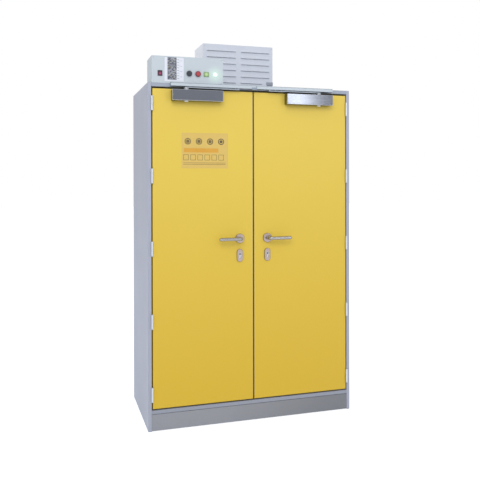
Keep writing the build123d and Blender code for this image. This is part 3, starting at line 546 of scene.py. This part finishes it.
FIRST_FIELD = -0.405
FIELD_STEP = 0.040
FIELD_WIDE = 0.030
FIELD_Z = (1.474, 1.505)
LINE = 0.002
fields = bmesh.new()
for column in range(6):
    left = FIRST_FIELD + column * FIELD_STEP
    right = left + FIELD_WIDE
    sides_z = (FIELD_Z[0] + LINE, FIELD_Z[1] - LINE)
    for edge_x, edge_z in (((left, right), (sides_z[1], FIELD_Z[1])),
                           ((left, right), (FIELD_Z[0], sides_z[0])),
                           ((left, left + LINE), sides_z), ((right - LINE, right), sides_z)):
        rounded_plate(fields, edge_x, print_y, edge_z, 0.0002, 1)
for line_z in (1.450, 1.458):
    rounded_plate(fields, (FIRST_FIELD, -0.165), print_y, (line_z, line_z + LINE), 0.0002, 1)
pale_print = film("pale_brown_print", "#634A22", "#73592C")
finished("door_film_fields", fields, pale_print, "left_door")


# ------------------------------------------------------- locks and handles
# Mortise locks behind the skins, with levers plated in satin chrome. Roses and
# escutcheons are plated in a warmer nickel and have polished rims, painted darker as painted shade.

def satin_chrome(name, colour, pale, roughness):
    """Satin chrome plating, brushed along X before plating: fine lines that soften the shine."""
    made, tree, shader, place = blank_material(name)
    shader.inputs["Metallic"].default_value = 1.0
    brushed = add(tree, "ShaderNodeMapping", {"Vector": place, "Scale": (1.0, 12.0, 12.0)})
    lines = add(tree, "ShaderNodeTexNoise", {"Vector": brushed.outputs[0], "Scale": 1 / (14 * MM),
                                             "Detail": 3.0})
    tint = add(tree, "ShaderNodeMix", {0: lines.outputs[0], 6: linear(colour), 7: linear(pale)},
               data_type="RGBA")
    tree.links.new(tint.outputs[2], shader.inputs["Base Color"])
    gloss = add(tree, "ShaderNodeMapRange", {"Value": lines.outputs[0], "From Min": 0.3, "From Max": 0.7,
                                             "To Min": roughness - 0.04, "To Max": roughness + 0.06})
    tree.links.new(gloss.outputs[0], shader.inputs["Roughness"])
    return made


chrome = satin_chrome("satin_chrome_plate", "#8D8B8A", "#A7A5A3", 0.24)
nickel = satin_chrome("satin_nickel_plate", "#A5958F", "#BCACA5", 0.26)
# Painted shade: the rims take a darker copy of the nickel.
nickel_rim_painted_shade = satin_chrome("polished_nickel_edge", "#6E5F56", "#85756B", 0.18)
paint_nodes(chrome, "left_lever", "right_lever")
paint_nodes(zinc, "left_lock_case", "right_lock_case", "left_latch_rod", "right_latch_rod")
plug_finish = bright_steel("nickel_plated_brass", "#8F8A84", "#A39E97", 0.3, "Y")
paint_nodes(plug_finish, "left_key_plug", "right_key_plug")


def copied(node, name, body, finishes, choose=None, keep=None):
    """A merged copy of a CAD node, or of the part that keep picks, in one or more finishes."""
    mesh = bmesh.new()
    mesh.from_mesh(nodes[node].data)
    bmesh.ops.remove_doubles(mesh, verts=mesh.verts, dist=1e-6)
    if keep:
        unwanted = [face for face in mesh.faces if not keep(face.calc_center_median())]
        bmesh.ops.delete(mesh, geom=unwanted, context="FACES")
    for face in mesh.faces:
        face.material_index = choose(face) if choose else 0
    data = bpy.data.meshes.new(name)
    mesh.to_mesh(data)
    mesh.free()
    for finish in finishes:
        data.materials.append(finish)
    data.shade_smooth()
    data.set_sharp_from_angle(angle=math.radians(32))
    piece = bpy.data.objects.new(name, data)
    scene.collection.objects.link(piece)
    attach(piece, body)
    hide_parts(node)
    return piece


def plate_rim(face):
    """0 the flat front and back of a rose or escutcheon, 1 its polished rounded rim, painted darker as
    painted shade.
    """
    return 0 if abs(face.normal.y) > 0.9 else 1


for side in ("left", "right"):
    copied(side + "_handle_plates", side + "_plates", side + "_door",
           (nickel, nickel_rim_painted_shade), plate_rim)


# ----------------------------------------------------- closers and guide rail
# Slide-arm closers: die cast bodies under satin anodised covers, flat arms, an extruded
# aluminium rail over both doors with a clip at its middle, and plastic blocks inside it.

def anodised(name, colour, pale, roughness):
    """Satin anodised aluminium, brushed along X: an even metal grey with fine long lines."""
    made, tree, shader, place = blank_material(name)
    shader.inputs["Metallic"].default_value = 1.0
    brushed = add(tree, "ShaderNodeMapping", {"Vector": place, "Scale": (1.0, 20.0, 20.0)})
    lines = add(tree, "ShaderNodeTexNoise", {"Vector": brushed.outputs[0], "Scale": 1 / (24 * MM),
                                             "Detail": 4.0})
    tint = add(tree, "ShaderNodeMix", {0: lines.outputs[0], 6: linear(colour), 7: linear(pale)},
               data_type="RGBA")
    tree.links.new(tint.outputs[2], shader.inputs["Base Color"])
    gloss = add(tree, "ShaderNodeMapRange", {"Value": lines.outputs[0], "From Min": 0.3, "From Max": 0.7,
                                             "To Min": roughness - 0.03, "To Max": roughness + 0.05})
    tree.links.new(gloss.outputs[0], shader.inputs["Roughness"])
    return made


closer_finish = anodised("satin_anodised_aluminium", "#666A73", "#747882", 0.15)
# Painted highlight: the closers' edges take a pale copy of the anodised finish.
closer_edge_painted_highlight = anodised("aluminium_bevel_painted_highlight", "#C2C8D0", "#D0D5DC", 0.2)
rail_finish = anodised("natural_anodised_aluminium", "#A3ACB5", "#B0B8C0", 0.42)
arm_finish = anodised("satin_anodised_arm", "#8A919B", "#979EA7", 0.3)
paint_nodes(rail_finish, "guide_rail")


def moulded(name, colour, pale, roughness):
    """Injection moulded plastic with a fine spark-eroded grain, 0.8 mm."""
    made, tree, shader, place = blank_material(name)
    cloud = add(tree, "ShaderNodeTexNoise", {"Vector": place, "Scale": 1 / (25 * MM), "Detail": 2.0})
    tint = add(tree, "ShaderNodeMix", {0: cloud.outputs[0], 6: linear(colour), 7: linear(pale)},
               data_type="RGBA")
    tree.links.new(tint.outputs[2], shader.inputs["Base Color"])
    spark = add(tree, "ShaderNodeTexNoise", {"Vector": place, "Scale": 1 / (0.8 * MM), "Detail": 1.0})
    gloss = add(tree, "ShaderNodeMapRange", {"Value": spark.outputs[0], "From Min": 0.3, "From Max": 0.7,
                                             "To Min": roughness - 0.05, "To Max": roughness + 0.05})
    tree.links.new(gloss.outputs[0], shader.inputs["Roughness"])
    skin = add(tree, "ShaderNodeBump", {"Height": spark.outputs[0], "Strength": 0.15, "Distance": 0.04 * MM})
    tree.links.new(skin.outputs[0], shader.inputs["Normal"])
    return made


white_plastic = moulded("white_acetal", "#EDEFF1", "#F5F6F7", 0.4)
grey_plastic = moulded("grey_abs", "#8D939E", "#999EA8", 0.5)
black_plastic = moulded("black_abs", "#232831", "#2F343E", 0.3)
paint_nodes(white_plastic, "left_slide_block", "right_slide_block")

CLIP_X = (-0.018, 0.012)
TAB_X = (0.008, 0.012)
TAB_RISE = 0.009
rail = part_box("guide_rail")[0]
face_y, seat_y, back_y = rail.y - 0.0025, rail.y - 0.0002, rail.y + 0.024
low_z, seat_z, top_z = rail.z - 0.006, rail.z - 0.0002, rail.z + 0.007
saddle = [(face_y, low_z), (back_y, low_z), (back_y, seat_z),
          (seat_y, seat_z), (seat_y, top_z), (face_y, top_z)]
tab = [(face_y, top_z), (seat_y, top_z), (seat_y, top_z + TAB_RISE), (face_y, top_z + TAB_RISE)]
clip = bmesh.new()
for outline, across in ((saddle, CLIP_X), (tab, TAB_X)):
    ends = [[clip.verts.new((x, y, z)) for y, z in outline] for x in across]
    clip.faces.new(ends[0])
    clip.faces.new(ends[1][::-1])
    for i in range(len(outline)):
        j = (i + 1) % len(outline)
        clip.faces.new((ends[0][i], ends[1][i], ends[1][j], ends[0][j]))
bmesh.ops.bevel(clip, geom=clip.edges[:], offset=0.0005, segments=2, affect="EDGES", clamp_overlap=True)
clip_plastic = moulded("blue_grey_abs", "#8894A0", "#95A0AA", 0.45)
clip_piece = finished("sequencer_clip", clip, clip_plastic, "cabinet", 40)
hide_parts("closing_sequencer")

low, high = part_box("left_closer_body")
COVER_Z = (low.z + 0.0049, high.z - 0.0039)
ARM_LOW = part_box("left_closer_arm")[1].z - 0.0061


def closer_zone(face):
    """0 the cover, 1 its edges, pale as a painted highlight, 2 the plastic caps on both ends of the spindle.
    """
    if not COVER_Z[0] < face.calc_center_median().z < COVER_Z[1]:
        return 2
    return 0 if max(abs(value) for value in face.normal) > 0.97 else 1


def arm_zone(face):
    """0 the flat arm, 1 the plastic cap under its hub."""
    return 1 if face.calc_center_median().z < ARM_LOW else 0


for side in ("left", "right"):
    copied(side + "_closer_body", side + "_closer", side + "_door",
           (closer_finish, closer_edge_painted_highlight, white_plastic), closer_zone)
    copied(side + "_closer_arm", side + "_arm", side + "_closer_arm",
           (arm_finish, white_plastic), arm_zone)


# --------------------------------------------------------- inside fittings
# Slotted zinc plated uprights with clip-in brackets, powder coated shelves and a sump
# tray, the fire valve in the ceiling and a smoke detector.

shelf_coat = powder_coat("powder_coated_steel_silver_grey", "#BFC4CA", "#C8CDD2", 0.45)
paint_nodes(shelf_coat, "shelves", "sump_tray")
paint_nodes(zinc, "shelf_supports")
paint_nodes(white_plastic, "ceiling_valve", "smoke_detector")


# ------------------------------------------------------------- control box
# Welded steel box with a flat front plate, powder coated in a very pale grey. It carries
# a rocker switch, a scale plate with a display, two round buttons and two lamps.

def middle(node):
    """Centre of a node's box."""
    low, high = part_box(node)
    return (low + high) / 2


def around(material, centre, inner, outer, colour, far=None):
    """Colour a material differently inside a radius about a centre, or with far outside it."""
    tree = material.node_tree
    base = tree.nodes["Principled BSDF"].inputs["Base Color"]
    place = tree.nodes["Texture Coordinate"].outputs["Object"]
    distance = add(tree, "ShaderNodeVectorMath", {0: place, 1: centre}, operation="DISTANCE").outputs["Value"]
    near = add(tree, "ShaderNodeMapRange", {"Value": distance, "From Min": outer, "From Max": inner},
               interpolation_type="SMOOTHSTEP").outputs[0]
    was = base.links[0].from_socket
    mixed = add(tree, "ShaderNodeMix", {0: near, 6: linear(far) if far else was, 7: linear(colour)},
                data_type="RGBA").outputs[2]
    tree.links.new(mixed, base)
    return mixed


LAMP_SPLIT = -0.25
LAMP_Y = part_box("signal_lamps")[0].y
WHITE_LAMP = Vector((-0.224, LAMP_Y, middle("signal_lamps").z))
GREEN_LAMP = Vector((-0.2745, LAMP_Y, WHITE_LAMP.z))
housing_coat = powder_coat("powder_coated_steel_white_grey", "#C3CCD0", "#CAD2D6", 0.45)
panel_coat_painted_glow = powder_coat("powder_coated_panel_with_painted_lamp_glow", "#C3CCD0", "#CAD2D6", 0.45)
# Painted light: a pale green glow from the white lamp is painted into the coat around it.
around(panel_coat_painted_glow, WHITE_LAMP, 0.006, 0.066, "#D6EADF")
paint_nodes(housing_coat, "control_housing")
paint_nodes(panel_coat_painted_glow, "control_panel")
paint_nodes(black_plastic, "panel_bezels", "black_button")
red_cap = moulded("red_polycarbonate", "#A9343A", "#B43D42", 0.22)
# Painted shade: the cap is lighter over its middle and painted dark red towards its rim.
around(red_cap, middle("red_button") + Vector((0, -0.012, 0)), 0.006, 0.016, "#BC4148", far="#6E2530")
paint_nodes(red_cap, "red_button")
rocker = moulded("dark_red_translucent_rocker", "#5E1527", "#7A1D33", 0.25)
# Painted light: the rocker is painted bright magenta in its middle as its glow, and dark towards its edges as
# painted shade.
around(rocker, middle("power_switch") + Vector((0, -0.006, -0.001)), 0.002, 0.011, "#B23C74", far="#43101F")
paint_nodes(rocker, "power_switch")
PANEL_INSET = 0.009
low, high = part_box("control_panel")
grown_from(screws, "control_panel_screws", "cabinet", "housing_grey", Count=2,
           First=(low.x + PANEL_INSET, low.y, low.z + PANEL_INSET),
           Step=(high.x - low.x - 2 * PANEL_INSET, 0, 0), Rows=2,
           Row=(0, 0, high.z - low.z - 2 * PANEL_INSET), Turn=TO_FRONT, Radius=0.0035, Height=0.0016,
           Finish=housing_coat)

WINDOW_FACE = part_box("indicator_plate")[0].y
PLATE_FACE = WINDOW_FACE + 0.001
scale_plate = film("white_scale_plate", "#E2E4EC", "#EBECF3")
window = moulded("smoked_display_window", "#585B66", "#6A6D78", 0.2)


def plate_zone(face):
    """0 the scale plate, 1 the display window that stands on it."""
    return 1 if face.calc_center_median().y < PLATE_FACE - 0.02 * MM else 0


copied("indicator_plate", "scale_plate", "cabinet", (scale_plate, window), plate_zone)


def cell_tree():
    """Small flat cells in rows, of which a random share is lit or printed."""
    made = bpy.data.node_groups.new("cell_rows", "GeometryNodeTree")
    given = named_inputs(made, SPACING + (("Cell", "Vector", (0.004, 0.0002, 0.003)), ("Share", "Float", 1.0),
                                          ("Seed", "Int", 1)))
    keep = add(made, "FunctionNodeRandomValue", {"Probability": given["Share"], "Seed": given["Seed"]},
               data_type="BOOLEAN")
    cell = add(made, "GeometryNodeMeshCube", {"Size": given["Cell"]})
    placed = add(made, "GeometryNodeInstanceOnPoints", {"Points": spaced_points(made, given),
                                                        "Selection": keep.outputs[3],
                                                        "Instance": cell.outputs[0]})
    realized(made, placed.outputs[0], given)
    return made


cells = cell_tree()
lit_cell = film("pale_display_cell", "#D5D8E0", "#E4E6EC")
warm_cell = film("olive_display_cell", "#A9A36A", "#B9B37C")
ink = film("grey_scale_print", "#565A66", "#666A75")
FIRST_CELL = (-0.489, WINDOW_FACE - 0.0001, 1.918)
for name, finish, thick, share, seed in (("display_cells_pale", lit_cell, 0.0002, 0.48, 3),
                                         ("display_cells_warm", warm_cell, 0.0003, 0.12, 8)):
    grown_from(cells, name, "cabinet", "plate_white", smooth=False, Count=9, Rows=20, First=FIRST_CELL,
               Step=(0.0055, 0, 0), Row=(0, 0, 0.0058), Cell=(0.0034, thick, 0.0036), Share=share, Seed=seed,
               Finish=finish)
grown_from(cells, "scale_ticks", "cabinet", "plate_white", smooth=False, Count=1, Rows=8,
           First=(-0.433, PLATE_FACE, 1.921), Row=(0, 0, 0.0145), Cell=(0.012, 0.0001, 0.0018), Finish=ink)
grown_from(cells, "scale_fields", "cabinet", "plate_white", smooth=False, Count=2, Rows=4,
           First=(-0.422, PLATE_FACE, 1.930), Step=(0.009, 0, 0), Row=(0, 0, 0.029),
           Cell=(0.005, 0.0001, 0.0016), Finish=ink)


def lamp_lens(name, colour, pale, centre, size, glow, rim, strength):
    """Moulded lamp lens lit from behind: clear colour with fine diffuser ribs, 1.5 mm apart,
    brightest over the diode in its middle."""
    made, tree, shader, place = blank_material(name)
    ribs = add(tree, "ShaderNodeTexWave", {"Vector": place, "Scale": 1 / (1.5 * MM) / math.tau,
                                           "Distortion": 0.0}, bands_direction="X")
    tint = add(tree, "ShaderNodeMix", {0: ribs.outputs[1], 6: linear(colour), 7: linear(pale)},
               data_type="RGBA")
    tree.links.new(tint.outputs[2], shader.inputs["Base Color"])
    shader.inputs["Roughness"].default_value = 0.18
    lit = around(made, centre, size * 0.35, size * 1.1, glow, far=rim)
    tree.links.new(lit, shader.inputs["Emission Color"])
    shader.inputs["Emission Strength"].default_value = strength
    return made


green_lens = lamp_lens("green_lamp_lens", "#86A94C", "#A9C86F", GREEN_LAMP, 0.013, "#ADC98D", "#76905A", 0.22)
white_lens = lamp_lens("white_lamp_lens", "#E6F4EA", "#EAFFF2", WHITE_LAMP, 0.0065, "#FFFFFF", "#C9DAD2",
                       0.65)
copied("signal_lamps", "green_lamp", "cabinet", (green_lens,),
       keep=lambda centre: centre.x < LAMP_SPLIT)
copied("signal_lamps", "white_lamp", "cabinet", (white_lens,),
       keep=lambda centre: centre.x > LAMP_SPLIT)


# ----------------------------------------------------------------- fan box
# Welded steel box with a front cover, whose air slots are pressed out as hoods. It holds
# a fan wheel under a motor plate, a pleated filter and the exhaust outlet.

fan_coat = powder_coat("powder_coated_steel_cool_white", "#CFD3DB", "#D5D9E0", 0.45)
paint_nodes(fan_coat, "vent_cover")
# Painted light: the box is painted nearly white, paler than its cover, standing in for light on its lit left
# side.
paint_nodes(powder_coat("powder_coated_steel_white", "#F8F9FC", "#FAFBFD", 0.45), "vent_housing")
COVER_INSET = 0.010
COVER_SHEET = 0.0015
low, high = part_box("vent_housing")
grown_from(screws, "vent_cover_screws", "cabinet", "housing_grey", Count=2,
           First=(low.x + COVER_INSET, low.y - COVER_SHEET, low.z + COVER_INSET),
           Step=(high.x - low.x - 2 * COVER_INSET, 0, 0), Rows=2,
           Row=(0, 0, high.z - low.z - 2 * COVER_INSET), Turn=TO_FRONT, Radius=0.0038, Height=0.0016,
           Finish=fan_coat)
paint_nodes(zinc, "fan_motor", "exhaust_spigot")
paint_nodes(black_plastic, "fan_impeller")
paint_nodes(grey_plastic, "terminal_cover")


def fleece(name):
    """Pleated filter fleece: matt off-white with tangled fibres, 0.5 mm thick, drawn at 2 mm."""
    made, tree, shader, place = blank_material(name)
    tangle = add(tree, "ShaderNodeTexNoise", {"Vector": place, "Scale": 1 / (2 * MM), "Detail": 5.0,
                                              "Distortion": 1.5})
    tint = add(tree, "ShaderNodeMix", {0: tangle.outputs[0], 6: linear("#CFCCC2"), 7: linear("#E2E0D8")},
               data_type="RGBA")
    tree.links.new(tint.outputs[2], shader.inputs["Base Color"])
    shader.inputs["Roughness"].default_value = 0.95
    nap = add(tree, "ShaderNodeBump", {"Height": tangle.outputs[0], "Strength": 0.5, "Distance": 0.4 * MM})
    tree.links.new(nap.outputs[0], shader.inputs["Normal"])
    return made


paint_nodes(fleece("filter_fleece"), "filter_cassette")


# -------------------------------------------------------------------- sizes

low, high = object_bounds()
